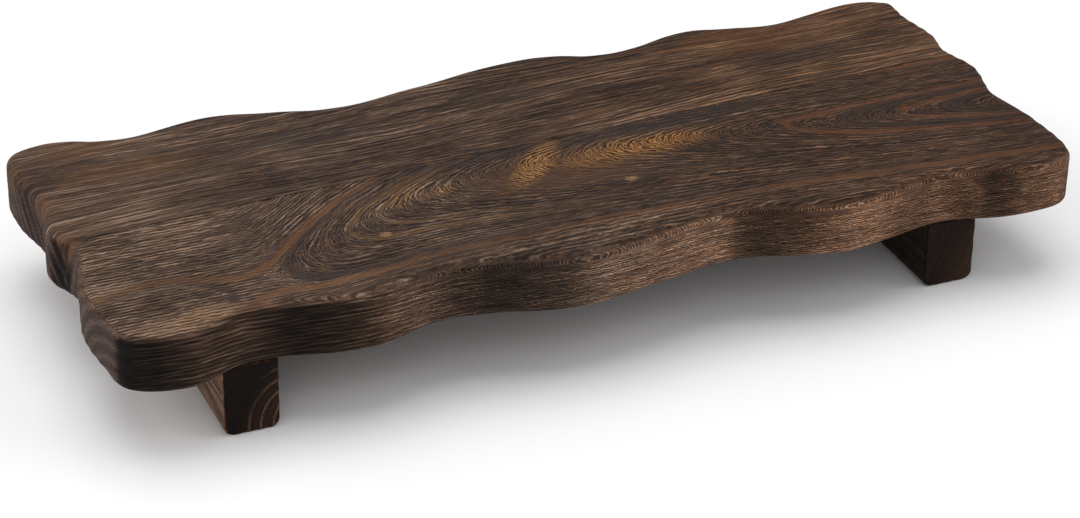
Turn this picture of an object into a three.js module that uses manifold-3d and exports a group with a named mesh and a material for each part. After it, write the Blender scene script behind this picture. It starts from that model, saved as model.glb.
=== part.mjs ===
// A wavy-edged wooden riser: a board of two edge-glued planks on two runner legs, screwed on from below.
// Millimetres, +Z up. The origin is on the standing surface, under the middle of the board; +Y is its back.
import * as THREE from 'three';
import { mergeVertices } from 'three/addons/utils/BufferGeometryUtils.js';
import Module from 'manifold-3d';

// Board
const BOARD_LENGTH = 400;
const BOARD_WIDTH = 165;
const BOARD_THICKNESS = 24;
const BOARD_EDGE_ROUND = 4;
const EDGE_ROUND_STEPS = 3;
const OUTLINE_STEPS = 216;

// Wavy edge: each point is [place along its side, from 0 to 1; how deep the edge is cut in there].
// The long sides run from left to right, and the ends from front to back.
const FRONT_WAVES = [
  [0.07, 0], [0.132, 9], [0.245, 2], [0.332, 10.5], [0.455, 0.3],
  [0.548, 6], [0.623, 11], [0.738, 0.3], [0.85, 7.2], [0.935, 0.7],
];
const BACK_WAVES = [
  [0.047, 0], [0.122, 7.5], [0.215, 2.2], [0.35, 13.5], [0.428, 8.5],
  [0.57, 0.5], [0.653, 9], [0.75, 1.7], [0.842, 9], [0.947, 2.5],
];
const LEFT_WAVES = [[0.155, 1.5], [0.282, 0.4], [0.458, 6], [0.567, 0.5], [0.685, 4], [0.84, 0.3]];
const RIGHT_WAVES = [[0.235, 1.2], [0.384, 5], [0.53, 0], [0.646, 4], [0.728, 1.5], [0.857, 4]];

// Corners: how far the rounded corner stands in from the square corner, [along the length, along the width].
const FRONT_LEFT_CORNER = [5.5, 8];
const FRONT_RIGHT_CORNER = [3.8, 5.5];
const BACK_RIGHT_CORNER = [4.5, 9];
const BACK_LEFT_CORNER = [2.8, 6.5];

// Glue joint between the planks: it crosses the middle of the board at this Y, slightly askew.
const GLUE_JOINT_Y = 8.4;
const GLUE_JOINT_ANGLE = THREE.MathUtils.degToRad(2.6);
const GLUE_FILM = 0.25;

// Legs: the inset is from the board's end to the middle of a leg,
// and the setback from the board's long sides to the leg's ends.
const LEG_WIDTH = 22;
const LEG_HEIGHT = 29;
const LEG_INSET = 53;
const LEG_SETBACK = 9.5;
const LEG_EDGE_ROUND = 4;
const LEG_END_EASE = 1;

// Countersunk wood screws, two in each leg
const SCREW_TO_LEG_END = 28;
const WOOD_OVER_SCREW = 10;
const SCREW_HEAD_DIAMETER = 8;
const SCREW_HEAD_RIM = 0.5;
const SCREW_SHANK_DIAMETER = 3;
const SCREW_SHANK_LENGTH = 12;
const SCREW_THREAD_DIAMETER = 4;
const SCREW_CORE_DIAMETER = 2.6;
const SCREW_THREAD_PITCH = 2;
const SCREW_POINT_LENGTH = 4;
const SCREW_SIDES = 8;
const THREAD_ROWS_PER_TURN = 4;
const CROSS_RECESS_SPAN = 4.4;
const CROSS_RECESS_SLOT = 1.2;
const CROSS_RECESS_DEPTH = 1.5;

// Holes for the screws
const COUNTERBORE_DEPTH = 8;
const SCREW_CLEARANCE = 0.3;
const PILOT_HOLE_SPARE = 1;
const HOLE_SIDES = 24;

// Cutters reach this far past the faces they cut
const CUT_OVERRUN = 2;

const BOARD_UNDERSIDE = LEG_HEIGHT;
const BOARD_ROUND = Math.min(BOARD_EDGE_ROUND, 0.45 * BOARD_THICKNESS);
const LEG_LENGTH = BOARD_WIDTH - 2 * LEG_SETBACK;
const LEG_ROUND = Math.min(LEG_EDGE_ROUND, 0.4 * LEG_WIDTH);
const SCREW_TIP = BOARD_UNDERSIDE + BOARD_THICKNESS - WOOD_OVER_SCREW;
const SCREW_LENGTH = SCREW_TIP - COUNTERBORE_DEPTH;
const SCREW_HEAD_CONE = (SCREW_HEAD_DIAMETER - SCREW_SHANK_DIAMETER) / 2;
const CLEARANCE_RADIUS = Math.max(SCREW_THREAD_DIAMETER, SCREW_SHANK_DIAMETER) / 2 + SCREW_CLEARANCE;

const plankWood = new THREE.MeshStandardMaterial({ color: 0x5a4638, roughness: 0.72, metalness: 0 });
const legWood = new THREE.MeshStandardMaterial({ color: 0x46352b, roughness: 0.75, metalness: 0 });
const screwSteel = new THREE.MeshStandardMaterial({ color: 0xa8a9a6, roughness: 0.35, metalness: 1 });

const wasm = await Module();
wasm.setup();

function toSolid(geometry) {
  const bare = geometry.clone();
  bare.deleteAttribute('normal');
  bare.deleteAttribute('uv');
  const merged = mergeVertices(bare);
  const vertProperties = new Float32Array(merged.attributes.position.array);
  const triVerts = new Uint32Array(merged.index.array);
  return new wasm.Manifold(new wasm.Mesh({ numProp: 3, vertProperties, triVerts }));
}

function toGeometry(solid) {
  const mesh = solid.getMesh();
  const geometry = new THREE.BufferGeometry();
  geometry.setAttribute('position', new THREE.BufferAttribute(mesh.vertProperties, 3));
  geometry.setIndex(new THREE.BufferAttribute(mesh.triVerts, 1));
  geometry.computeVertexNormals();
  return geometry;
}

// A solid of revolution about Z from [radius, z] pairs, given from its lowest point to its highest.
// Its last column of points is set exactly on its first, so that the seam closes at any size.
function turned(profile, sides) {
  const points = profile.map(([radius, z]) => new THREE.Vector2(radius, z));
  const geometry = new THREE.LatheGeometry(points, sides);
  const coordinates = geometry.attributes.position.array;
  coordinates.copyWithin(sides * points.length * 3, 0, points.length * 3);
  return geometry.rotateX(Math.PI / 2);
}

// The board's outline from above, as one closed curve through its wave points and corners.
function boardOutline() {
  const halfLength = BOARD_LENGTH / 2;
  const halfWidth = BOARD_WIDTH / 2;
  const along = (place, size) => (place - 0.5) * size;
  const front = FRONT_WAVES.map(([place, depth]) => [along(place, BOARD_LENGTH), depth - halfWidth]);
  const back = BACK_WAVES.map(([place, depth]) => [along(place, BOARD_LENGTH), halfWidth - depth]);
  const left = LEFT_WAVES.map(([place, depth]) => [depth - halfLength, along(place, BOARD_WIDTH)]);
  const right = RIGHT_WAVES.map(([place, depth]) => [halfLength - depth, along(place, BOARD_WIDTH)]);
  const corner = ([inX, inY], sideX, sideY) => [sideX * (halfLength - inX), sideY * (halfWidth - inY)];
  const points = [
    corner(FRONT_LEFT_CORNER, -1, -1), ...front,
    corner(FRONT_RIGHT_CORNER, 1, -1), ...right,
    corner(BACK_RIGHT_CORNER, 1, 1), ...back.reverse(),
    corner(BACK_LEFT_CORNER, -1, 1), ...left.reverse(),
  ];
  const knots = points.map(([x, y]) => new THREE.Vector3(x, y, 0));
  const curve = new THREE.CatmullRomCurve3(knots, true, 'centripetal');
  const steps = curve.getSpacedPoints(OUTLINE_STEPS).slice(1);
  return new THREE.Shape(steps.map(({ x, y }) => new THREE.Vector2(x, y)));
}

function boardSolid() {
  const geometry = new THREE.ExtrudeGeometry(boardOutline(), {
    depth: BOARD_THICKNESS - 2 * BOARD_ROUND,
    bevelThickness: BOARD_ROUND,
    bevelSize: BOARD_ROUND,
    bevelOffset: -BOARD_ROUND,
    bevelSegments: EDGE_ROUND_STEPS,
  });
  geometry.translate(0, 0, BOARD_UNDERSIDE + BOARD_ROUND);
  return toSolid(geometry);
}

// Everything beyond the glue joint on one side: +1 is behind it, -1 in front of it.
function beyondGlueJoint(side) {
  const reach = BOARD_LENGTH + BOARD_WIDTH;
  const height = BOARD_THICKNESS + 2 * CUT_OVERRUN;
  const block = new THREE.BoxGeometry(2 * reach, reach, height);
  block.translate(0, side * (reach - GLUE_FILM) / 2, BOARD_UNDERSIDE + BOARD_THICKNESS / 2);
  block.rotateZ(GLUE_JOINT_ANGLE);
  block.translate(0, GLUE_JOINT_Y, 0);
  return toSolid(block);
}

function pilotHole(x, y) {
  const profile = [
    [0, BOARD_UNDERSIDE - CUT_OVERRUN],
    [CLEARANCE_RADIUS, BOARD_UNDERSIDE - CUT_OVERRUN],
    [CLEARANCE_RADIUS, SCREW_TIP + PILOT_HOLE_SPARE],
    [0, SCREW_TIP + PILOT_HOLE_SPARE],
  ];
  return toSolid(turned(profile, HOLE_SIDES).translate(x, y, 0));
}

// A hole up through a leg: counterbore, countersunk seat for the head, and clearance for the thread.
function legHole(x, y) {
  const boreRadius = SCREW_HEAD_DIAMETER / 2 + SCREW_CLEARANCE;
  const seatStart = COUNTERBORE_DEPTH + SCREW_HEAD_RIM;
  const profile = [
    [0, -CUT_OVERRUN],
    [boreRadius, -CUT_OVERRUN],
    [boreRadius, seatStart],
    [CLEARANCE_RADIUS, seatStart + boreRadius - CLEARANCE_RADIUS],
    [CLEARANCE_RADIUS, LEG_HEIGHT + CUT_OVERRUN],
    [0, LEG_HEIGHT + CUT_OVERRUN],
  ];
  return toSolid(turned(profile, HOLE_SIDES).translate(x, y, 0));
}

// A bar with its two lower long edges rounded over and its ends slightly eased, along Y.
function legGeometry(x) {
  const half = LEG_WIDTH / 2;
  const section = new THREE.Shape();
  section.moveTo(-half, LEG_HEIGHT);
  section.lineTo(-half, LEG_ROUND);
  section.absarc(LEG_ROUND - half, LEG_ROUND, LEG_ROUND, Math.PI, 1.5 * Math.PI);
  section.lineTo(half - LEG_ROUND, 0);
  section.absarc(half - LEG_ROUND, LEG_ROUND, LEG_ROUND, 1.5 * Math.PI, 2 * Math.PI);
  section.lineTo(half, LEG_HEIGHT);
  section.closePath();
  const bar = new THREE.ExtrudeGeometry(section, {
    depth: LEG_LENGTH - 2 * LEG_END_EASE,
    bevelThickness: LEG_END_EASE,
    bevelSize: LEG_END_EASE,
    bevelOffset: -LEG_END_EASE,
    bevelSegments: 2,
    curveSegments: 6,
  });
  bar.translate(0, 0, LEG_END_EASE - LEG_LENGTH / 2);
  bar.rotateX(Math.PI / 2);
  bar.translate(x, 0, 0);
  return screwPlaces().reduce((solid, y) => solid.subtract(legHole(x, y)), toSolid(bar));
}

// Where the screws stand along a leg, as Y.
function screwPlaces() {
  const place = LEG_LENGTH / 2 - SCREW_TO_LEG_END;
  return [-place, place];
}

// A countersunk wood screw, head down, with a helical thread and a cross recess in its head.
function screwGeometry(x, y) {
  const threadStart = SCREW_SHANK_LENGTH;
  const pointStart = SCREW_LENGTH - SCREW_POINT_LENGTH;
  const coreRadius = SCREW_CORE_DIAMETER / 2;
  const rows = Math.round((pointStart - threadStart) / SCREW_THREAD_PITCH * THREAD_ROWS_PER_TURN);
  const profile = [
    [0, 0],
    [SCREW_HEAD_DIAMETER / 2, 0],
    [SCREW_HEAD_DIAMETER / 2, SCREW_HEAD_RIM],
    [SCREW_SHANK_DIAMETER / 2, SCREW_HEAD_RIM + SCREW_HEAD_CONE],
    [SCREW_SHANK_DIAMETER / 2, threadStart - SCREW_THREAD_PITCH / 2],
  ];
  for (let row = 0; row <= rows; row += 1) {
    profile.push([coreRadius, threadStart + (pointStart - threadStart) * row / rows]);
  }
  profile.push([0, SCREW_LENGTH]);
  const body = turned(profile, SCREW_SIDES);
  raiseThread(body.attributes.position, threadStart, pointStart);
  const slot = new THREE.BoxGeometry(CROSS_RECESS_SPAN, CROSS_RECESS_SLOT, 2 * CROSS_RECESS_DEPTH);
  const crossSlot = slot.clone().rotateZ(Math.PI / 2);
  const solid = toSolid(body).subtract(toSolid(slot)).subtract(toSolid(crossSlot));
  return toGeometry(solid).translate(x, y, COUNTERBORE_DEPTH);
}

// Moves the rows between two heights out along a helix, from the screw's core to its thread.
function raiseThread(positions, from, to) {
  const rise = (SCREW_THREAD_DIAMETER - SCREW_CORE_DIAMETER) / 2;
  const coreRadius = SCREW_CORE_DIAMETER / 2;
  const halfRow = SCREW_THREAD_PITCH / THREAD_ROWS_PER_TURN / 2;
  for (let i = 0; i < positions.count; i += 1) {
    const z = positions.getZ(i);
    if (z > from - halfRow && z < to + halfRow) {
      const angle = Math.atan2(positions.getY(i), positions.getX(i));
      const phase = 2 * Math.PI * (z - from) / SCREW_THREAD_PITCH - angle;
      const radius = coreRadius + rise * Math.max(0, Math.cos(phase));
      positions.setXY(i, radius * Math.cos(angle), radius * Math.sin(angle));
    }
  }
}

function named(name, geometry, material) {
  const mesh = new THREE.Mesh(geometry, material);
  mesh.name = name;
  return mesh;
}

const riser = new THREE.Group();
riser.name = 'wooden_riser';

const legPlace = BOARD_LENGTH / 2 - LEG_INSET;
const legs = [['left', -legPlace], ['right', legPlace]];
const holes = legs.flatMap(([, x]) => screwPlaces().map((y) => pilotHole(x, y)));
const drilledBoard = holes.reduce((solid, hole) => solid.subtract(hole), boardSolid());
riser.add(named('rear_plank', toGeometry(drilledBoard.subtract(beyondGlueJoint(-1))), plankWood));
riser.add(named('front_plank', toGeometry(drilledBoard.subtract(beyondGlueJoint(1))), plankWood));

for (const [side, x] of legs) {
  riser.add(named(`${side}_leg`, toGeometry(legGeometry(x)), legWood));
  for (const y of screwPlaces()) {
    const end = y < 0 ? 'front' : 'rear';
    riser.add(named(`${side}_${end}_screw`, screwGeometry(x, y), screwSteel));
  }
}

export default riser;
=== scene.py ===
import math

import bmesh
import bpy
import numpy as np
from mathutils import Matrix, Vector


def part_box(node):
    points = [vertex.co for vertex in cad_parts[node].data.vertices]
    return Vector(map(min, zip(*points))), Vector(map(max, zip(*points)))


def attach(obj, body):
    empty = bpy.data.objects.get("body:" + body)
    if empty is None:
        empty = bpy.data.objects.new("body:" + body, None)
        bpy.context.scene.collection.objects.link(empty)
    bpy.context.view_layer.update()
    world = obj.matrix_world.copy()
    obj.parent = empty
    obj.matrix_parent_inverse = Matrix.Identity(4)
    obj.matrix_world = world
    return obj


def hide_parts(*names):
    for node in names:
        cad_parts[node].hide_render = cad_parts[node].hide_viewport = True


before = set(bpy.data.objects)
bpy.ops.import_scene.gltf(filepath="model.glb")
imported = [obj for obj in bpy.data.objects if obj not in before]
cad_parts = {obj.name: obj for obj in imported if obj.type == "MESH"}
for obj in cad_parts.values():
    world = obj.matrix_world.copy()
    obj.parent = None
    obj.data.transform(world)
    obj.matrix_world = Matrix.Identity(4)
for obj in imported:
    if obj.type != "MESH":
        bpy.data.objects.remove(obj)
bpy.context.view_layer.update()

# Lengths below are in millimetres; the scene is in metres.
MM = 0.001

# Places closer than this, in metres, count as one
SAME_PLACE = 1e-6

# Board
BOARD_LENGTH = 400
BOARD_WIDTH = 165
BOARD_THICKNESS = 24
BOARD_UNDERSIDE = 29
BOARD_TOP = BOARD_UNDERSIDE + BOARD_THICKNESS
BOARD_EDGE_ROUND = 4
EDGE_ROUND_STEPS = 8
CURVE_STEPS = 60
OUTLINE_STEP = 1.1

# Wavy edge: [place along its side, from 0 to 1; how deep the edge is cut in there]
FRONT_WAVES = [
    (0.07, 0), (0.132, 9), (0.245, 2), (0.332, 10.5), (0.455, 0.3),
    (0.548, 6), (0.623, 11), (0.738, 0.3), (0.85, 7.2), (0.935, 0.7),
]
BACK_WAVES = [
    (0.047, 0), (0.122, 7.5), (0.215, 2.2), (0.35, 13.5), (0.428, 8.5),
    (0.57, 0.5), (0.653, 9), (0.75, 1.7), (0.842, 9), (0.947, 2.5),
]
LEFT_WAVES = [(0.155, 1.5), (0.282, 0.4), (0.458, 6), (0.567, 0.5), (0.685, 4), (0.84, 0.3)]
RIGHT_WAVES = [(0.235, 1.2), (0.384, 5), (0.53, 0), (0.646, 4), (0.728, 1.5), (0.857, 4)]

# Corners: how far each stands in from the square corner, along the length and along the width
FRONT_LEFT_CORNER = (5.5, 8)
FRONT_RIGHT_CORNER = (3.8, 5.5)
BACK_RIGHT_CORNER = (4.5, 9)
BACK_LEFT_CORNER = (2.8, 6.5)

# Glue joint
GLUE_JOINT_Y = 8.4
GLUE_JOINT_ANGLE = math.radians(2.6)
GLUE_FILM = 0.25

# Legs and the pilot holes of their screws
LEG_PLACE = 147
LEG_WIDTH = 22
LEG_END_MIDDLE = 15
LEG_END_SPREAD = 40
SCREW_PLACE = 45
PILOT_RADIUS = 2.3
PILOT_TOP = 44
PILOT_MARGIN = 1
PILOT_CUTS = 5
PILOT_RIM = 0.3

# Brushed relief: the fine grid that carries it, its rings and its depth
BOARD_GRID = 1.0
BOARD_WALL_ROW = 1.3
LEG_GRID = 0.8
LEG_GRID_ALONG = 2.0
GRID_SNAP = 0.02
FRONT_RING_WIDTH = 6.2
REAR_RING_WIDTH = 5.2
LEG_RING_WIDTH = 4.6
BOARD_BRUSH_DEPTH = 0.22
LEG_BRUSH_DEPTH = 0.15
RIDGE_PHASE = 0.85
RIDGE_SHARPNESS = 1.5
FLAT_ANGLE = math.radians(1)
CREASE_ANGLE = math.radians(35)

# How far the brush keeps from screws, the glue joint and seats, and what counts as the top
BOARD_SCREW_REACH = 4
LEG_SCREW_REACH = 5
TOP_REACH = 0.01
JOINT_REACH = 0.3
UNDERSIDE_REACH = 0.1
LEG_SEAT_REACH = 0.05

# Camera, fitted to the photograph
CAMERA_AIM = Vector((-19.59, -44.40, 31.59)) * MM
CAMERA_DISTANCE = 1233.2 * MM
CAMERA_AZIMUTH = math.radians(-23.36)
CAMERA_ELEVATION = math.radians(29.85)
CAMERA_ROLL = math.radians(0.75)
CAMERA_LENS = 106.17
CAMERA_SENSOR = 36

# Floor, in metres
FLOOR_HALF_SIZE = 4
FLOOR_WHITE = (0.97, 0.97, 0.97, 1)

# Light: [name; level; azimuth, elevation and spread in degrees]
SURROUND_LEVEL = 0.45
SOFTBOXES = [
    ("overhead_softbox", 0.36, 180, 80, 50),
    ("right_softbox", 0.12, 70, 38, 40),
    ("front_softbox", 0.14, -10, 30, 60),
    ("left_softbox", 0.28, -110, 32, 40),
]


# Growth rings: the distance from the heart of the tree, in millimetres.
# The same formula drives the mesh's relief (maths is numpy) and the colours (maths is Field).

# The rear plank's heart, far in front of it, and how its rings lean: [share across; share up]
REAR_HEART_DISTANCE = 140
REAR_LEAN = (0.82, 0.57)

# The legs' hearts: [how far right of the leg's middle; how high]
LEFT_LEG_HEART = (21, 1)
RIGHT_LEG_HEART = (62, -14)


def front_plank_rings(x, y, z, maths):
    """Flame-shaped grain: the heart runs under the plank and rises to the right."""

    def swell(middle, reach):
        """1 at a place along the board, fading on both sides of it."""
        away = (x - middle) / reach
        return maths.exp(-away * away)

    def turn(middle, reach):
        """From -1 to 1 along the board, through 0 at a place."""
        return maths.tanh((x - middle) / reach)

    pinch = swell(-129, 26)
    left_end = 1 - turn(-163, 14)
    rise = 36 * turn(-108, 69)
    fall = 13.5 * (1 + turn(103, 80))
    heart_y = -39 + rise - fall
    heart_depth = 33.5 - 0.075 * x + 2.2 * pinch - 4.3 * left_end
    across = y - heart_y + 3.5 * pinch
    flare = 0.4 * swell(-29, 145)
    across = across * (1 - 0.5 * flare * (1 - maths.tanh(across / 6)))
    down = z - BOARD_TOP + heart_depth
    wander = 0.1 * maths.sin(x / 11 - y / 9 + z / 7) + 0.06 * maths.sin(x / 5 + y / 4)
    return maths.sqrt(across * across + down * down) + wander


def rear_plank_rings(x, y, z, maths):
    """Straight grain along the glue joint, leaning through the thickness."""
    across = (y - x * math.tan(GLUE_JOINT_ANGLE)) * REAR_LEAN[0] - (z - BOARD_TOP) * REAR_LEAN[1]
    wander = 1.5 * maths.sin(x / 47 + y / 15 + 0.4) + 0.7 * maths.sin(x / 19 - y / 8 + 2)
    return across + REAR_HEART_DISTANCE + wander


def left_leg_rings(x, y, z, maths):
    """A bar cut beside the heart, which lies to the lower right."""
    across = x + LEG_PLACE - LEFT_LEG_HEART[0]
    up = z - LEFT_LEG_HEART[1]
    wander = 0.5 * maths.sin(y / 31 + x / 6) + 0.3 * maths.sin(z / 5 + y / 17)
    return maths.sqrt(across * across + up * up) + wander


def right_leg_rings(x, y, z, maths):
    """A bar cut well away from the heart, with nearly upright rings."""
    across = x - LEG_PLACE - RIGHT_LEG_HEART[0]
    up = z - RIGHT_LEG_HEART[1]
    wander = 0.6 * maths.sin(y / 27 + x / 7 + 1) + 0.3 * maths.sin(z / 6 + y / 13)
    return maths.sqrt(across * across + up * up) + wander


# Meshes

def outline_knots():
    """The wave points and corners round the board, anticlockwise from the front left."""
    half_length = BOARD_LENGTH / 2
    half_width = BOARD_WIDTH / 2
    front = [((p - 0.5) * BOARD_LENGTH, d - half_width) for p, d in FRONT_WAVES]
    back = [((p - 0.5) * BOARD_LENGTH, half_width - d) for p, d in BACK_WAVES]
    left = [(d - half_length, (p - 0.5) * BOARD_WIDTH) for p, d in LEFT_WAVES]
    right = [(half_length - d, (p - 0.5) * BOARD_WIDTH) for p, d in RIGHT_WAVES]

    def corner(inset, side_x, side_y):
        return (side_x * (half_length - inset[0]), side_y * (half_width - inset[1]))

    return np.array([
        corner(FRONT_LEFT_CORNER, -1, -1), *front,
        corner(FRONT_RIGHT_CORNER, 1, -1), *right,
        corner(BACK_RIGHT_CORNER, 1, 1), *back[::-1],
        corner(BACK_LEFT_CORNER, -1, 1), *left[::-1],
    ])


def board_outline():
    """A smooth closed curve through the knots, at even steps."""
    knots = outline_knots()
    share = np.linspace(0, 1, CURVE_STEPS, endpoint=False)[:, None]
    curve = []
    for i in range(len(knots)):
        before, start, end, after = (knots[(i + k) % len(knots)] for k in (-1, 0, 1, 2))
        gap0, gap1, gap2 = (
            math.sqrt(np.linalg.norm(b - a)) for a, b in ((before, start), (start, end), (end, after))
        )
        leave = (start - before) / gap0 - (end - before) / (gap0 + gap1) + (end - start) / gap1
        arrive = (end - start) / gap1 - (after - start) / (gap1 + gap2) + (after - end) / gap2
        leave, arrive = leave * gap1, arrive * gap1
        curve.append(
            start + leave * share
            + (3 * (end - start) - 2 * leave - arrive) * share ** 2
            + (2 * (start - end) + leave + arrive) * share ** 3
        )
    curve = np.vstack(curve + [knots[:1]])
    run = np.concatenate([[0], np.cumsum(np.linalg.norm(np.diff(curve, axis=0), axis=1))])
    steps = np.linspace(0, run[-1], round(run[-1] / OUTLINE_STEP), endpoint=False)
    return np.column_stack([np.interp(steps, run, curve[:, k]) for k in (0, 1)])


def faces_of(bm, test):
    return [face for face in bm.faces if test(face)]


def with_edges(faces):
    """Faces with their edges and corners, as bisect_plane takes them."""
    edges = {edge for face in faces for edge in face.edges}
    verts = {vert for face in faces for vert in face.verts}
    return [*faces, *edges, *verts]


def slice_rows(bm, faces, axis, places):
    """Cuts faces into rows across an axis, so that they can carry relief."""
    direction = Vector(axis)
    uncut = list(faces)
    done = []
    for place in places:
        cut = bmesh.ops.bisect_plane(
            bm, geom=with_edges(uncut), dist=GRID_SNAP * MM,
            plane_co=direction * place * MM, plane_no=direction,
        )
        pieces = [part for part in cut["geom"] if isinstance(part, bmesh.types.BMFace)]
        uncut = []
        for face in pieces:
            beyond = face.calc_center_median().dot(direction) > place * MM
            (uncut if beyond else done).append(face)
    return done + uncut


def drill(bm, x, y, radius, top):
    """A blind round hole up from the board's underside."""
    reach = radius + PILOT_MARGIN
    floor_z = BOARD_UNDERSIDE * MM

    def is_under(face):
        return all(abs(v.co.z - floor_z) < SAME_PLACE for v in face.verts)

    for axis, middle in (((1, 0, 0), x), ((0, 1, 0), y)):
        slice_rows(bm, faces_of(bm, is_under), axis, (middle - reach, middle + reach))
    centre = Vector((x, y, BOARD_UNDERSIDE)) * MM
    square = min(faces_of(bm, is_under), key=lambda f: (f.calc_center_median() - centre).length)
    bmesh.ops.subdivide_edges(bm, edges=square.edges[:], cuts=PILOT_CUTS)
    square = min(faces_of(bm, is_under), key=lambda f: (f.calc_center_median() - centre).length)
    bmesh.ops.inset_individual(bm, faces=[square], thickness=PILOT_RIM * MM)
    for vert in square.verts:
        vert.co = centre + (vert.co - centre).normalized() * radius * MM
    lifted = bmesh.ops.extrude_face_region(bm, geom=[square])["geom"]
    bmesh.ops.delete(bm, geom=[square], context="FACES_ONLY")
    verts = [part for part in lifted if isinstance(part, bmesh.types.BMVert)]
    bmesh.ops.translate(bm, verts=verts, vec=(0, 0, (top - BOARD_UNDERSIDE) * MM))


def drilled_board():
    """The whole wavy board with rounded edges and the pilot holes."""
    bm = bmesh.new()
    rim = [bm.verts.new((x * MM, y * MM, BOARD_UNDERSIDE * MM)) for x, y in board_outline()]
    base = bm.faces.new(rim)
    raised = bmesh.ops.extrude_face_region(bm, geom=[base])["geom"]
    verts = [part for part in raised if isinstance(part, bmesh.types.BMVert)]
    bmesh.ops.translate(bm, verts=verts, vec=(0, 0, BOARD_THICKNESS * MM))
    bmesh.ops.recalc_face_normals(bm, faces=bm.faces[:])
    rims = [edge for edge in bm.edges if abs(edge.verts[0].co.z - edge.verts[1].co.z) < SAME_PLACE]
    bmesh.ops.bevel(
        bm, geom=rims, offset=BOARD_EDGE_ROUND * MM, offset_type="OFFSET", affect="EDGES",
        segments=EDGE_ROUND_STEPS, profile=0.5, material=-1, clamp_overlap=False,
    )
    for x in (-LEG_PLACE, LEG_PLACE):
        for y in (-SCREW_PLACE, SCREW_PLACE):
            drill(bm, x, y, PILOT_RADIUS, PILOT_TOP)
    bmesh.ops.recalc_face_normals(bm, faces=bm.faces[:])
    return bm


def across_joint():
    """The direction straight across the glue joint, to the back."""
    return Vector((-math.sin(GLUE_JOINT_ANGLE), math.cos(GLUE_JOINT_ANGLE), 0))


def split_plank(board, side):
    """The plank on one side of the glue joint: +1 is behind it, -1 in front of it."""
    bm = board.copy()
    across = across_joint()
    bmesh.ops.bisect_plane(
        bm, geom=[*bm.faces, *bm.edges, *bm.verts], dist=SAME_PLACE,
        plane_co=Vector((0, GLUE_JOINT_Y * MM, 0)) + across * side * GLUE_FILM * MM / 2,
        plane_no=across, clear_outer=side < 0, clear_inner=side > 0,
    )
    bmesh.ops.edgeloop_fill(bm, edges=[edge for edge in bm.edges if edge.is_boundary])
    bmesh.ops.recalc_face_normals(bm, faces=bm.faces[:])
    return bm


def grid_places(low, high, step):
    return np.arange(low + step / 2, high, step)


def finely_cut(bm):
    """Cuts the plank's top into a fine grid and its walls into rows."""
    top_z = BOARD_TOP * MM

    def is_top(face):
        return all(abs(v.co.z - top_z) < SAME_PLACE for v in face.verts)

    def is_wall(face):
        low, high = min(v.co.z for v in face.verts), max(v.co.z for v in face.verts)
        return high - low > 0.5 * BOARD_THICKNESS * MM and len(face.verts) == 4

    half_length, half_width = BOARD_LENGTH / 2, BOARD_WIDTH / 2
    columns = grid_places(-half_length, half_length, BOARD_GRID)
    rows = grid_places(-half_width, half_width, BOARD_GRID)
    strips = slice_rows(bm, faces_of(bm, is_top), (1, 0, 0), columns)
    slice_rows(bm, strips, (0, 1, 0), rows)
    low, high = BOARD_UNDERSIDE + BOARD_EDGE_ROUND, BOARD_TOP - BOARD_EDGE_ROUND
    slice_rows(bm, faces_of(bm, is_wall), (0, 0, 1), grid_places(low, high, BOARD_WALL_ROW))


def brush(bm, rings, ring_width, depth, is_kept):
    """Wire-brushes the soft wood out between the harder rings."""
    bm.normal_update()
    verts = [vert for vert in bm.verts if not is_kept(vert)]
    x, y, z = np.array([vert.co for vert in verts]).T / MM
    turns = rings(x, y, z, np) / ring_width
    ridge = (0.5 + 0.5 * np.cos(2 * np.pi * (turns - RIDGE_PHASE))) ** RIDGE_SHARPNESS
    moves = depth * (1 - ridge) * MM
    for vert, move in zip(verts, moves):
        vert.co -= vert.normal * float(move)


def shade(bm, sharp_angle):
    """Smooth shading, with creases where faces meet at more than an angle."""
    bm.normal_update()
    for face in bm.faces:
        face.smooth = True
    for edge in bm.edges:
        edge.smooth = edge.calc_face_angle(0) < sharp_angle


def smoothstep(value, low, high):
    share = np.clip((value - low) / (high - low), 0, 1)
    return share * share * (3 - 2 * share)


# On the front edge, what faces left gets painted shade and is burnt more, and what faces right gets
# painted light; the far rims get painted shade
LEFT_FACING_BURN_AND_SHADE = 3.6
RIGHT_FACING_PAINTED_LIGHT = 1.9
FAR_RIM_SHADE = 0.45
TO_FAR_RIMS = (0.5, 0.87)

# How much lighter a leg's end is towards its lower right
LOWER_RIGHT_LIFT = 0.42

# How light the front edge is along the board, from the flame's burning and from painted light and shade
# on its lobes and valleys: [place along the board; level]
FRONT_SCORCH_AND_PAINTED_LIGHT = [
    (-185, 0.2), (-175, 0.32), (-155, 0.3), (-143, 0.36), (-130, 0.21), (-112, 0.5), (-100, 0.6),
    (-82, 0.97), (-67, 0.71), (-57, 1.05), (-54, 0.72), (-30, 1.4), (-10, 1.52), (15, 1.6),
    (30, 1.85), (48, 2.45), (52, 1.7), (65, 1.75), (73, 2.8), (81, 4.1), (88, 4.0), (95, 3.9),
    (108, 2.4), (120, 1.32), (133, 1.5), (146, 3.1), (155, 3.5), (159, 1.75), (168, 1.85),
    (174, 2.3), (180, 2.2), (195, 1.4),
]


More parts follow.
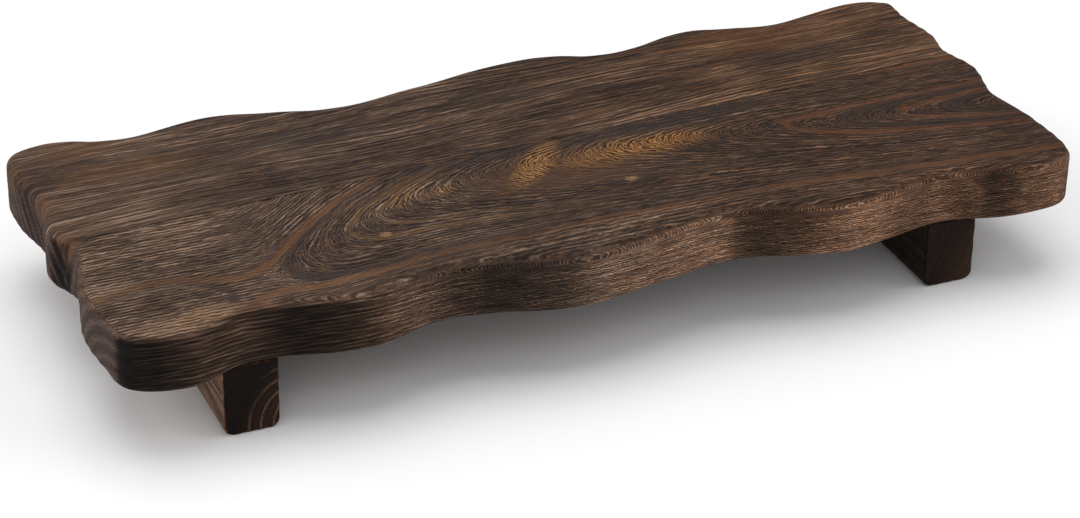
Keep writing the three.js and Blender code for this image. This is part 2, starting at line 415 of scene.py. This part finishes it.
def plank_scorch_and_painted_light(place, facing):
    """How light the wood is: 1 is the top's brown, less is burnt and painted shade, more is painted
    light.
    """
    on_wall = 1 - smoothstep(facing[:, 2], 0.5, 0.85)
    on_front = on_wall * smoothstep(-facing[:, 1], 0.2, 0.45)
    turn = np.clip(facing[:, 0], -0.3, 0.25)
    level = np.interp(place[:, 0], *zip(*FRONT_SCORCH_AND_PAINTED_LIGHT))
    # Painted shade and burning where the front edge faces left, painted light where it faces right
    level = level * np.exp(np.where(turn < 0, LEFT_FACING_BURN_AND_SHADE, RIGHT_FACING_PAINTED_LIGHT) * turn)
    # Painted shade along the far rims
    away = smoothstep(TO_FAR_RIMS[0] * facing[:, 0] + TO_FAR_RIMS[1] * facing[:, 1], 0.15, 0.45)
    edge = 1 - smoothstep(facing[:, 2], 0.65, 0.92)
    return (1 + on_front * (level - 1)) * (1 - FAR_RIM_SHADE * away * edge)


def from_screw(vert):
    """The distance from the nearest screw's axis, in millimetres."""
    return math.hypot(abs(vert.co.x) / MM - LEG_PLACE, abs(vert.co.y) / MM - SCREW_PLACE)


def plank_piece(name, board, side, rings, ring_width, material, node):
    """One plank of the board, cut finely, brushed, and scorched with painted light and shade on its front
    edge.
    """
    bm = split_plank(board, side)
    finely_cut(bm)
    joint_point = Vector((0, GLUE_JOINT_Y, 0)) * MM
    joint_direction = across_joint()

    def is_kept(vert):
        on_top = vert.co.z >= (BOARD_TOP - TOP_REACH) * MM
        on_joint = abs((vert.co - joint_point).dot(joint_direction)) < JOINT_REACH * MM
        on_underside = vert.co.z < (BOARD_UNDERSIDE + UNDERSIDE_REACH) * MM
        in_hole = from_screw(vert) < BOARD_SCREW_REACH
        return not on_top and (on_joint or on_underside or in_hole)

    brush(bm, rings, ring_width, BOARD_BRUSH_DEPTH, is_kept)
    shade(bm, CREASE_ANGLE)
    place = np.array([vert.co for vert in bm.verts]) / MM
    facing = np.array([vert.normal for vert in bm.verts])
    piece = finished_piece(name, bm, material, node)
    # Scorching with painted light and shade, kept in the mesh
    set_scorch_and_painted_light(piece, plank_scorch_and_painted_light(place, facing))


def finished_piece(name, bm, material, node):
    """Makes a mesh the piece that stands for a CAD node."""
    mesh = bpy.data.meshes.new(name)
    bm.to_mesh(mesh)
    bm.free()
    mesh.materials.append(material)
    piece = bpy.data.objects.new(name, mesh)
    bpy.context.scene.collection.objects.link(piece)
    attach(piece, "root")
    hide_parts(node)
    return piece


def set_scorch_and_painted_light(piece, scorch):
    """Keeps the scorching and the painted light and shade in the mesh, where the wood's material reads
    it.
    """
    layer = piece.data.attributes.new("scorch", "FLOAT", "POINT")
    layer.data.foreach_set("value", scorch.astype(np.float32))


def to_lower_right(across, up):
    """How far towards the lower right of a leg's end a place lies, from the end's middle."""
    return across / LEG_WIDTH + (LEG_END_MIDDLE - up) / LEG_END_SPREAD


def leg_piece(name, node, rings, material, end_level, side_painted_light):
    """A leg from its CAD shape; the end level says how light the flame left its ends, and the side level
    paints its left side lighter above 1 and darker below 1, as painted light and painted shade.
    """
    bm = bmesh.new()
    bm.from_mesh(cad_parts[node].data)
    bmesh.ops.remove_doubles(bm, verts=bm.verts[:], dist=SAME_PLACE)
    bmesh.ops.dissolve_limit(bm, angle_limit=FLAT_ANGLE, verts=bm.verts[:], edges=bm.edges[:])
    low, high = (np.array(corner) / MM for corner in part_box(node))
    for axis, step in (((1, 0, 0), LEG_GRID), ((0, 0, 1), LEG_GRID), ((0, 1, 0), LEG_GRID_ALONG)):
        k = axis.index(1)
        slice_rows(bm, bm.faces[:], axis, grid_places(low[k], high[k], step))

    def is_kept(vert):
        at_board = vert.co.z > (high[2] - LEG_SEAT_REACH) * MM
        on_sole = vert.co.z < LEG_SEAT_REACH * MM
        return at_board or on_sole or from_screw(vert) < LEG_SCREW_REACH

    brush(bm, rings, LEG_RING_WIDTH, LEG_BRUSH_DEPTH, is_kept)
    shade(bm, CREASE_ANGLE)
    facing = np.array([vert.normal for vert in bm.verts])
    place = np.array([vert.co for vert in bm.verts]) / MM
    lower_right = to_lower_right(place[:, 0] - low[0] - LEG_WIDTH / 2, place[:, 2])
    at_end = end_level + LOWER_RIGHT_LIFT * smoothstep(lower_right, -0.1, 0.7)
    scorch = 1 + (at_end - 1) * smoothstep(np.abs(facing[:, 1]), 0.3, 0.8)
    # Painted light on the leg's left side where its side level is above 1, painted shade where it is
    # below 1
    scorch = scorch + (side_painted_light - 1) * smoothstep(-facing[:, 0], 0.3, 0.8)
    piece = finished_piece(name, bm, material, node)
    set_scorch_and_painted_light(piece, scorch)


# Materials

def srgb(red, green, blue):
    """A colour as seen on screen, 0 to 255, as the shader's linear values."""
    levels = [c / 255 for c in (red, green, blue)]
    linear = [c / 12.92 if c <= 0.04045 else ((c + 0.055) / 1.055) ** 2.4 for c in levels]
    return (*linear, 1.0)


class Field:
    """A value that varies over a surface: a shader socket that Python's operators work on."""

    def __init__(self, tree, socket):
        self.tree = tree
        self.socket = socket

    def node(self, kind, settings, sockets, output=0):
        """Adds any node: its settings first, then the values or links of its sockets."""
        made = self.tree.nodes.new(kind)
        for name, value in settings.items():
            if name == "stops":
                stops = made.color_ramp.elements
                while len(stops) < len(value):
                    stops.new(1.0)
                for stop, (position, colour) in zip(stops, value):
                    stop.position = position
                    stop.color = colour
            else:
                setattr(made, name, value)
        for name, value in sockets.items():
            if isinstance(value, Field):
                self.tree.links.new(value.socket, made.inputs[name])
            else:
                made.inputs[name].default_value = value
        return Field(self.tree, made.outputs[output])

    def math(self, operation, *values):
        return self.node("ShaderNodeMath", {"operation": operation}, dict(enumerate(values)))

    def __add__(self, other):
        return self.math("ADD", self, other)

    def __radd__(self, other):
        return self.math("ADD", other, self)

    def __sub__(self, other):
        return self.math("SUBTRACT", self, other)

    def __rsub__(self, other):
        return self.math("SUBTRACT", other, self)

    def __mul__(self, other):
        return self.math("MULTIPLY", self, other)

    def __rmul__(self, other):
        return self.math("MULTIPLY", other, self)

    def __truediv__(self, other):
        return self.math("DIVIDE", self, other)

    def __neg__(self):
        return self.math("MULTIPLY", self, -1.0)

    def __abs__(self):
        return self.math("ABSOLUTE", self)

    def sin(self):
        return self.math("SINE", self)

    def exp(self):
        return self.math("EXPONENT", self)

    def tanh(self):
        return self.math("TANH", self)

    def sqrt(self):
        return self.math("SQRT", self)

    def fract(self):
        return self.math("FRACT", self)

    def step(self, low, high):
        """A smooth step from 0 at low to 1 at high."""
        settings = {"interpolation_type": "SMOOTHSTEP"}
        return self.node(
            "ShaderNodeMapRange", settings, {"Value": self, "From Min": low, "From Max": high}
        )

    def mix(self, first, second):
        """This value, from 0 to 1, mixes two colours."""
        settings = {"data_type": "RGBA"}
        return self.node("ShaderNodeMix", settings, {0: self, 6: first, 7: second}, 2)

    def noise(self, second, third, detail=2.0, roughness=0.5):
        """Noise over three values, this one first."""
        place = self.node("ShaderNodeCombineXYZ", {}, {"X": self, "Y": second, "Z": third})
        sockets = {"Vector": place, "Scale": 1.0, "Detail": detail, "Roughness": roughness}
        return self.node("ShaderNodeTexNoise", {}, sockets)


def new_material(name):
    """An empty material, its shader and the place on the piece in millimetres, as three fields."""
    material = bpy.data.materials.new(name)
    material.use_nodes = True
    tree = material.node_tree
    shader = tree.nodes["Principled BSDF"]
    start = Field(tree, tree.nodes.new("ShaderNodeTexCoord").outputs["Object"])
    axes = start.node("ShaderNodeSeparateXYZ", {}, {0: start}).socket.node
    place = [Field(tree, axes.outputs[k]) / MM for k in range(3)]
    return material, shader, place


def link(field, shader, socket):
    field.tree.links.new(field.socket, shader.inputs[socket])


BROWN_STOPS = [
    (0.10, srgb(32, 23, 18)),
    (0.30, srgb(51, 38, 31)),
    (0.50, srgb(70, 54, 45)),
    (0.70, srgb(95, 76, 63)),
    (0.92, srgb(142, 118, 99)),
]
ORANGE = srgb(116, 80, 47)
OLIVE = srgb(102, 77, 50)
REDDISH = srgb(94, 64, 47)
SLATE = srgb(44, 37, 36)
RUST = srgb(104, 72, 45)
AMBER_DARK = srgb(50, 34, 23)
AMBER_LIGHT = srgb(180, 130, 76)
TAN_DARK = srgb(66, 48, 37)
TAN_LIGHT = srgb(166, 132, 101)
KNOT = srgb(186, 146, 104)
STEEL_DARK = srgb(150, 151, 148)
STEEL_LIGHT = srgb(198, 199, 196)
WARM_TINT = (0.97, 0.85, 0.73, 1)
REDDISH_TINT = (1.0, 0.84, 0.72, 1)
LEFT_END_TINT = (0.70, 0.73, 0.83, 1)

# Patches on the front plank's top: [middle along and across; reach along and across; strength]
GOLD_LEAN = 0.8
GOLD_PATCHES = [
    (-7, -9, 10, 17, 0.8), (38, -9, 36, 12, 0.8), (-64, -14, 9, 10, 0.5), (-49, -15, 7, 6, 0.5),
]
TAN_PATCHES = [(-172, -74, 20, 7, 0.6), (-158, -70, 11, 6, 0.7)]
REDDISH_PATCHES = [(-2, -18, 40, 14, 0.35)]
FRONT_SOOT = [(52, 3, 22, 9, 0.8), (80, 5, 46, 7, 0.7), (30, -51, 22, 5, 0.4), (31, -33, 7, 4, 0.5)]
KNOTS = [(-81, -39.5, 2.2, 1.6, 0.4), (23.7, -33.6, 2.4, 1.6, 0.5)]

# Patches on the rear plank's top, in the same terms
REAR_SOOT = [(-85, 47, 45, 9, 0.5), (20, 50, 42, 8, 0.5), (128, 41, 30, 7, 0.5)]
REAR_WARMTH = [(133, 62, 50, 14, 0.2), (-155, 46, 30, 10, 0.2), (-170, 70, 26, 8, 0.25)]

# Patches on the left end's upper edge: [middle across and up; reach across and up; strength]
LEFT_END_WEAR = [(62, 48, 6, 5, 0.5), (31, 49, 8, 5, 0.55), (0, 49, 7, 5, 0.55)]

# Finish of the wood, and how much the fine grain roughens and raises it
WOOD_ROUGHNESS = 0.82
WOOD_SHINE = 0.12
GRAIN_POLISH = 0.3
GRAIN_BUMP = 0.7
GRAIN_DEPTH = 0.3

# Ring lines of the front plank: [distance from the heart; half width; colour; strength]
OUTER_RING = 46
OUTER_FLAMES_FROM = 44
MIDDLE_FLAMES_FROM = 38
FLAME_LINES = [
    (55.0, 1.6, SLATE, 0.3), (51.0, 1.4, SLATE, 0.3),
    (44.7, 5.0, SLATE, 0.7), (OUTER_RING, 4.0, REDDISH, 0.5), (OUTER_RING, 2.6, RUST, 0.5),
    (40.6, 2.6, OLIVE, 0.4), (39.9, 1.6, SLATE, 0.35), (39.2, 1.6, OLIVE, 0.4),
    (33.3, 1.6, SLATE, 0.4), (30.0, 1.4, SLATE, 0.3),
    (25.7, 3.2, REDDISH, 0.7), (24.2, 4.0, SLATE, 0.8),
    (21.9, 2.8, REDDISH, 0.7), (20.6, 3.6, SLATE, 0.85),
]


# How much the layers of the wood lean where they come out on a wall
LAYER_LEAN = 0.35

# Where the rings lie flat in the surface: [slope drawn; faded in from one slope to another]
FLATTEST_SLOPE = 0.045
STEEPER_SLOPES = [(0.1, 0.05, 0.07), (0.25, 0.12, 0.18), (0.6, 0.3, 0.45)]
WHOLE_SLOPE = 0.85

# The step over which the rings' slope is taken
SLOPE_STEP = 0.5


def blend(share, first, second):
    """The first value where the share is 0, the second where it is 1."""
    return first + share * (second - first)


class Grain:
    """The noises that wood of one piece is drawn from, at their real sizes in millimetres."""

    def __init__(self, along, across, up, rings, dash_length, fibre_length, slope=None, straight=None):
        self.along = along
        self.sideways = across + up

        def dashes(level, steepness):
            return self.waves(level, dash_length, 2.0 * steepness, 13 if steepness < 0.2 else 7)

        def fibres(level, steepness):
            place = self.sideways / fibre_length
            return (along / fibre_length).noise(place, level / steepness, detail=1.0)

        # Short strokes and longer fibres that follow the rings
        self.dash = self.by_slope(dashes, rings, slope, straight)
        self.fibre = self.by_slope(fibres, rings, slope, straight) - 0.5
        # Lines along the walls, wavy and straight, and the open pores of cut ends
        layers = up + LAYER_LEAN * across
        self.knit = self.waves(layers, 2.0, 1.0, 12)
        self.thread = (along / 14).noise(across / 7, layers / 0.6, detail=1.0, roughness=0.6) - 0.5
        self.pore = (across / 0.6).noise(up / 0.6, along / 6, detail=1.0) - 0.5
        # Long streaks, broad clouds and flecks of another colour
        place = self.sideways / 25
        self.streak = (along / 60).noise(rings / 1.4, place, detail=3.0, roughness=0.6) - 0.5
        self.cloud = (along / 45).noise(across / 20, up / 20, detail=2.0) - 0.5
        self.hue = (along / 6).noise(across / 1.6, up / 1.6, detail=1.0)

    def waves(self, level, length, period, waver):
        """Close lines where the level is even, wavering and broken into strokes of about a length."""
        turns = level / period
        drift = (self.along / length).noise(self.sideways / length, 0.5 * turns, detail=1.0)
        return (2 * math.pi * turns + waver * drift).sin().step(-0.3, 0.8) - 0.4

    def by_slope(self, draw, rings, slope, straight):
        """Lines that follow the rings; where the rings lie flat in the surface, more are drawn."""
        if slope is None:
            return draw(rings, WHOLE_SLOPE)
        curved = draw(rings, FLATTEST_SLOPE)
        for steepness, low, high in STEEPER_SLOPES:
            curved = blend(slope.step(low, high), curved, draw(rings, steepness))
        return blend(straight, curved, draw(self.sideways, 1.0))

    def flecked(self, colour, warmth):
        """Greyer and warmer fibres here and there."""
        colour = (0.3 * (1 - self.hue.step(0.32, 0.46))).mix(colour, SLATE)
        return (warmth * self.hue.step(0.54, 0.68)).mix(colour, ORANGE)


def near(value, target, half_width):
    """1 on a line, fading to 0 at its half width."""
    gap = value - target
    return 1 - abs(gap).step(0.25 * half_width, half_width)


def patches(x, y, rows, ragged, lean=0.0):
    """Oval patches with ragged rims: each has its strength in the middle, and fades to 0 outside."""
    total = 0
    for middle_x, middle_y, reach_x, reach_y, strength in rows:
        along = (x - middle_x - lean * (y - middle_y)) / reach_x
        across = (y - middle_y) / reach_y
        total = total + strength * (1 - (along * along + across * across + ragged).step(0.0, 1.3))
    return total


def brown(tone):
    """The wood's brown, from its darkest at a tone of 0 to its palest at 1."""
    return tone.node("ShaderNodeValToRGB", {"stops": BROWN_STOPS}, {0: tone})


def from_joint(x, y):
    """The distance behind the glue joint."""
    return (y - GLUE_JOINT_Y) * math.cos(GLUE_JOINT_ANGLE) - x * math.sin(GLUE_JOINT_ANGLE)


def tinted(colour, share, tint):
    """A colour multiplied by a tint, by a share from 0 to 1."""
    tint = share.mix((1, 1, 1, 1), tint)
    return colour.node("ShaderNodeVectorMath", {"operation": "MULTIPLY"}, {0: colour, 1: tint})


def on_board_end(x):
    """1 on the board's two ends, 0 along it."""
    return abs(x).step(190, 195)


def on_leg_end(y):
    """1 on a leg's two cut ends, 0 along it."""
    return abs(y).step(70.5, 72.5)


def end_grain(grain, rings, ring_width):
    """Cut ends: open pores, and the rings as bands."""
    return grain.pore + 0.1 * (rings * (2 * math.pi / ring_width)).sin()


def left_end_wear(x, y, z, grain, colour):
    """The left end is greyer, with rusty wood where its upper edge was sanded through."""
    at_left = 1 - x.step(-194, -187)
    colour = tinted(colour, at_left * (1 - z.step(BOARD_TOP - 4, BOARD_TOP - 1)), LEFT_END_TINT)
    worn = patches(y, z, LEFT_END_WEAR, 3.0 * grain.hue - 1.5 + 3.0 * grain.pore)
    return (at_left * worn).mix(colour, RUST)


def ring_slope(x, y, z, rings):
    """How fast the front plank's rings pass along its surface; along the board counts half."""
    along = 0.5 * (front_plank_rings(x + SLOPE_STEP, y, z, Field) - rings)
    across = front_plank_rings(x, y + SLOPE_STEP, z, Field) - rings
    return (along * along + across * across).sqrt() / SLOPE_STEP


def burnt_part(x):
    """1 at the left, where the flame burnt the front edge dark, and 0 at the right."""
    return 1 - x.step(-130, -30)


def front_plank_fine(x, y, z, rings, grain, on_top):
    """Flecks on the front plank's top, lines along its edge and pores on its ends."""
    flecks = 0.4 * grain.dash + grain.fibre
    burnt = burnt_part(x)
    lines = 0.4 * grain.knit * x.step(-150, -60) + (0.9 + 0.4 * burnt) * grain.thread
    lines = lines + 0.34 * burnt * grain.waves(z + LAYER_LEAN * y, 11, 1.7, 7)
    rounding = z.step(BOARD_TOP - 6, BOARD_TOP - 3)
    slanting = 0.42 * grain.waves(z - 2.2 * y, 1.6, 0.7, 9) + 0.6 * grain.thread
    lines = blend(rounding * x.step(-110, -60), lines, slanting)
    lines = blend(on_board_end(x), lines, end_grain(grain, rings, FRONT_RING_WIDTH))
    return blend(on_top, lines, flecks)


def flame_lines(x, rings, slope, grain, on_top, colour):
    """The ring lines of the flames: outer ones all along, middle ones at the left, inner at the right."""
    ragged = rings + slope * (0.3 * grain.dash + 2.0 * grain.cloud)
    bend = (x + 122) / 34
    broken = 0.8 * grain.cloud + 0.3 * grain.dash + 1.2 * grain.fibre
    outer = 0.45 + 0.55 * (-bend * bend).exp() + 0.15 * x.step(90, 130) + broken
    middle = x.step(-118, -104) * (1 - x.step(-50, 10))
    inner = x.step(0, 20) * (0.85 + broken)
    for radius, half_width, line_colour, strength in FLAME_LINES:
        shown = outer if radius > OUTER_FLAMES_FROM else middle if radius > MIDDLE_FLAMES_FROM else inner
        line = near(ragged, radius, half_width * slope)
        colour = (strength * on_top * shown * line).mix(colour, line_colour)
    return colour


def front_plank_patches(x, y, grain, on_top, colour):
    """A sooty strip beside the glue joint, then coloured patches, soot and pale knots."""
    rough = 1.6 * grain.cloud + 1.6 * grain.fibre + 0.4 * grain.dash
    beside = from_joint(x, y) + 3.0 * grain.cloud + 2.0 * grain.fibre
    strip = beside.step(-10, -3) * x.step(-80, -40) * (1 - x.step(70, 120))
    colour = (0.55 * strip).mix(colour, SLATE)
    colour = (on_top * patches(x, y, REDDISH_PATCHES, rough)).mix(colour, REDDISH)
    tan = (0.45 + 0.7 * grain.dash + 0.8 * grain.fibre).mix(TAN_DARK, TAN_LIGHT)
    colour = (on_top * patches(x, y, TAN_PATCHES, rough)).mix(colour, tan)
    amber = (0.4 + grain.dash + 0.8 * grain.fibre).mix(AMBER_DARK, AMBER_LIGHT)
    colour = (on_top * patches(x, y, GOLD_PATCHES, rough, GOLD_LEAN)).mix(colour, amber)
    colour = (on_top * patches(x, y, FRONT_SOOT, rough)).mix(colour, SLATE)
    return (on_top * patches(x, y, KNOTS, rough + 1.2 * grain.dash)).mix(colour, KNOT)


def front_plank_colour(x, y, z, rings):
    """Brown with flames, patches and a burnt edge."""
    slope = ring_slope(x, y, z, rings)
    grain = Grain(x, y, z, rings, 3.2, 9, slope, 1 - x.step(-148, -112))
    on_top = z.step(BOARD_TOP - 1.2, BOARD_TOP - 0.4)
    fine = front_plank_fine(x, y, z, rings, grain, on_top)
    inside = on_top * x.step(-125, -100) * (1 - rings.step(41, OUTER_RING))
    lighter = 0.10 * (1 - x.step(-150, -50)) - 0.10 * inside - 0.05 * x.step(0, 90)
    broad = (0.8 * grain.streak + 0.6 * grain.cloud) * (0.3 + 0.7 * on_top)
    colour = grain.flecked(brown(0.44 + fine + broad + lighter), 0.16 + 0.14 * on_top)
    reddened = 0.6 * burnt_part(x) * (1 - on_top) * x.step(-193, -185)
    colour = tinted(colour, reddened, REDDISH_TINT)
    colour = flame_lines(x, rings, slope, grain, on_top, colour)
    colour = front_plank_patches(x, y, grain, on_top, colour)
    colour = left_end_wear(x, y, z, grain, colour)
    return tinted(colour, x.step(-40, 110), WARM_TINT), fine


def rear_plank_colour(x, y, z, rings):
    """Brown with long streaks, sooty and warm patches."""
    behind = from_joint(x, y)
    grain = Grain(x, behind, z, rings, 5, 18)
    on_top = z.step(BOARD_TOP - 4, BOARD_TOP - 1)
    flecks = (0.26 * grain.dash + grain.fibre) * (0.7 + 0.3 * x.step(-160, -60))
    lines = 0.3 * grain.knit + grain.thread
    lines = blend(on_board_end(x), lines, end_grain(grain, rings, REAR_RING_WIDTH))
    fine = blend(on_top, lines, flecks)
    lighter = 0.07 * (1 - x.step(-160, -60)) + 0.06 * x.step(110, 180) - 0.03
    lighter = lighter + 0.09 * x.step(-70, -20) * (1 - behind.step(3, 10))
    broad = 1.2 * grain.streak + 0.75 * grain.cloud
    colour = grain.flecked(brown(0.43 + fine + broad + lighter), 0.3)
    rough = 2.0 * grain.cloud + 1.5 * grain.streak
    colour = patches(x, y, REAR_SOOT, rough).mix(colour, SLATE)
    warmth = patches(x, y, REAR_WARMTH, rough) + 0.5 * x.step(-20, 80) * grain.streak.step(0.04, 0.2)
    colour = (on_top * warmth).mix(colour, ORANGE)
    colour = left_end_wear(x, y, z, grain, colour)
    return tinted(colour, x.step(-80, 120), WARM_TINT), fine


def leg_colour(x, y, z, rings, arcs):
    """Wood of a leg; arcs says how much lighter the rings' ridges are on its cut ends."""
    grain = Grain(y, x, z, rings, 4, 12)
    at_end = on_leg_end(y)
    fine = 0.12 * grain.dash + 0.4 * grain.fibre + 0.7 * grain.thread
    fine = blend(at_end, fine, 0.7 * end_grain(grain, rings, LEG_RING_WIDTH))
    phase = ((rings + 0.4 * grain.dash + 1.2 * grain.pore) / LEG_RING_WIDTH).fract()
    ridge = phase.step(0.62, 0.8) * (1 - phase.step(0.85, 0.97))
    colour = brown(0.38 + fine + 0.4 * grain.streak + arcs * at_end * ridge)
    return tinted(colour, 0.3 + 0.7 * at_end, REDDISH_TINT), fine


def left_leg_colour(x, y, z, rings):
    lower_right = to_lower_right(x + LEG_PLACE, z)
    return leg_colour(x, y, z, rings, 0.3 + 0.4 * lower_right.step(-0.15, 0.35))


def right_leg_colour(x, y, z, rings):
    return leg_colour(x, y, z, rings, 0.2)


def wood(name, rings_of, colour_of):
    """Scorched, brushed wood with painted light and shade, the rings and the colours of one piece."""
    material, shader, (x, y, z) = new_material(name)
    rings = rings_of(x, y, z, Field)
    colour, fine = colour_of(x, y, z, rings)
    # The colour is scaled by the scorching and the painted light and shade that the mesh keeps
    scorch = x.node("ShaderNodeAttribute", {"attribute_name": "scorch"}, {}, "Fac")
    colour = x.node("ShaderNodeVectorMath", {"operation": "SCALE"}, {0: colour, "Scale": scorch})
    link(colour, shader, "Base Color")
    link(WOOD_ROUGHNESS - GRAIN_POLISH * fine, shader, "Roughness")
    shader.inputs["Specular IOR Level"].default_value = WOOD_SHINE
    sockets = {"Strength": GRAIN_BUMP, "Distance": GRAIN_DEPTH * MM, "Height": fine}
    link(x.node("ShaderNodeBump", {}, sockets), shader, "Normal")
    return material


def zinc_steel(name):
    material, shader, (x, y, z) = new_material(name)
    scuff = (x / 0.8).noise(y / 0.8, z / 0.3, detail=3.0)
    link(scuff.mix(STEEL_DARK, STEEL_LIGHT), shader, "Base Color")
    link(0.28 + 0.25 * scuff, shader, "Roughness")
    shader.inputs["Metallic"].default_value = 1.0
    return material


# Stage

def studio_floor():
    bm = bmesh.new()
    bmesh.ops.create_grid(bm, x_segments=1, y_segments=1, size=FLOOR_HALF_SIZE)
    mesh = bpy.data.meshes.new("studio_floor")
    bm.to_mesh(mesh)
    bm.free()
    floor = bpy.data.objects.new("studio_floor", mesh)
    bpy.context.scene.collection.objects.link(floor)
    material = bpy.data.materials.new("pale_floor")
    material.use_nodes = True
    shader = material.node_tree.nodes["Principled BSDF"]
    shader.inputs["Base Color"].default_value = FLOOR_WHITE
    shader.inputs["Roughness"].default_value = 0.9
    shader.inputs["Specular IOR Level"].default_value = 0.0
    mesh.materials.append(material)


def softbox(name, level, azimuth, elevation, spread):
    """A soft lamp far away; level is the light that it gives to a face turned up to it."""
    lamp = bpy.data.lights.new(name, "SUN")
    lamp.energy = level * math.pi
    lamp.angle = math.radians(spread)
    holder = bpy.data.objects.new(name, lamp)
    a, e = math.radians(azimuth), math.radians(elevation)
    towards = Vector((math.sin(a) * math.cos(e), -math.cos(a) * math.cos(e), math.sin(e)))
    holder.rotation_euler = towards.to_track_quat("Z", "Y").to_euler()
    bpy.context.scene.collection.objects.link(holder)


def white_surround(level):
    """Even light from all round; rays from the camera and reflections see plain white."""
    world = bpy.data.worlds.new("white_surround")
    bpy.context.scene.world = world
    world.use_nodes = True
    tree = world.node_tree
    backdrop = tree.nodes["Background"]
    start = Field(tree, tree.nodes.new("ShaderNodeLightPath").outputs["Is Camera Ray"])
    rays = start.socket.node
    seen = start
    for name in ("Is Glossy Ray", "Is Transmission Ray"):
        seen = seen.math("MAXIMUM", seen, Field(tree, rays.outputs[name]))
    link(level + (1 - level) * seen, backdrop, "Strength")
    backdrop.inputs["Color"].default_value = (1, 1, 1, 1)


def photo_camera():
    data = bpy.data.cameras.new("photo_camera")
    data.sensor_fit = "HORIZONTAL"
    data.sensor_width = CAMERA_SENSOR
    data.lens = CAMERA_LENS
    camera = bpy.data.objects.new("photo_camera", data)
    back = Vector((
        math.sin(CAMERA_AZIMUTH) * math.cos(CAMERA_ELEVATION),
        -math.cos(CAMERA_AZIMUTH) * math.cos(CAMERA_ELEVATION),
        math.sin(CAMERA_ELEVATION),
    ))
    turn = back.to_track_quat("Z", "Y").to_matrix().to_4x4() @ Matrix.Rotation(CAMERA_ROLL, 4, "Z")
    camera.matrix_world = Matrix.Translation(CAMERA_AIM + back * CAMERA_DISTANCE) @ turn
    bpy.context.scene.collection.objects.link(camera)
    bpy.context.scene.camera = camera


bpy.context.scene.view_settings.view_transform = "Standard"
photo_camera()
studio_floor()
white_surround(SURROUND_LEVEL)
for name, level, azimuth, elevation, spread in SOFTBOXES:
    softbox(name, level, azimuth, elevation, spread)

board = drilled_board()
plank_piece(
    "rear_plank_timber", board, 1, rear_plank_rings, REAR_RING_WIDTH,
    wood("rear_plank_wood", rear_plank_rings, rear_plank_colour), "rear_plank",
)
plank_piece(
    "front_plank_timber", board, -1, front_plank_rings, FRONT_RING_WIDTH,
    wood("front_plank_wood", front_plank_rings, front_plank_colour), "front_plank",
)
board.free()
# The left leg's left side gets painted light; the right leg's, under the board, gets painted shade
leg_piece(
    "left_leg_timber", "left_leg", left_leg_rings,
    wood("left_leg_wood", left_leg_rings, left_leg_colour), end_level=0.08, side_painted_light=3.4,
)
leg_piece(
    "right_leg_timber", "right_leg", right_leg_rings,
    wood("right_leg_wood", right_leg_rings, right_leg_colour), end_level=0.2, side_painted_light=0.4,
)
steel = zinc_steel("zinc_steel")
for side in ("left", "right"):
    for end in ("front", "rear"):
        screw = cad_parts[f"{side}_{end}_screw"]
        screw.data.materials.clear()
        screw.data.materials.append(steel)
